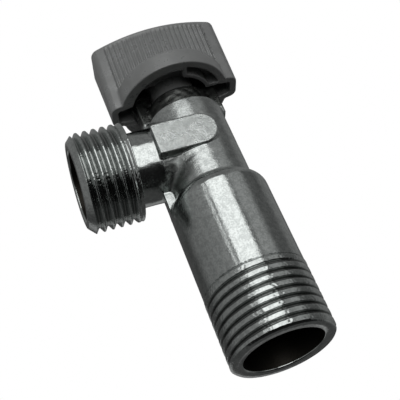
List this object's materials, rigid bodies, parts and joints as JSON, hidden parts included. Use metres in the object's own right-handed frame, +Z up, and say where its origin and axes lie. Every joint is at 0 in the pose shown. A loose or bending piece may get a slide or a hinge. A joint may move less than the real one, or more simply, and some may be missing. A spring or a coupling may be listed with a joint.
{
  "type": "angle valve",
  "caption": "Quarter-turn angle valve with male pipe threads on its inlet and outlet, a plated cast body and a ribbed plastic handle.",
  "frame": {"origin": "centre of the inlet's end face", "axes": "+Z up the leg's axis to the handle, -X out of the outlet, -Y towards the raised pad"},
  "size_m": [0.0404, 0.0242, 0.0782],
  "materials": {
    "body_plating": "chrome plating over a cast surface, satin and slightly grainy",
    "ball_plating": "polished chrome plating",
    "plain_brass": "turned brass",
    "seat_plastic": "waxy white low-friction plastic",
    "seal_rubber": "matt black rubber",
    "handle_plastic": "satin grey plastic with a metallic cast",
    "screw_steel": "zinc-plated steel",
    "cap_plastic": "smooth grey plastic"
  },
  "bodies": {
    "valve_body": {"body": "body_plating", "outlet_seat": "seat_plastic", "rear_seat": "seat_plastic", "seat_retainer": "plain_brass", "thrust_washer": "seat_plastic"},
    "handle_group": {"handle": "handle_plastic", "stem": "plain_brass", "ball": "ball_plating", "lower_seal": "seal_rubber", "upper_seal": "seal_rubber", "handle_screw": "screw_steel", "screw_washer": "screw_steel", "handle_cap": "cap_plastic"}
  },
  "joints": [
    {"name": "handle_turn", "type": "hinge", "parent": "valve_body", "child": "handle_group", "pos_m": [0, 0, 0.05], "axis": [0, 0, -1], "range_deg": [-3, 87]}
  ]
}
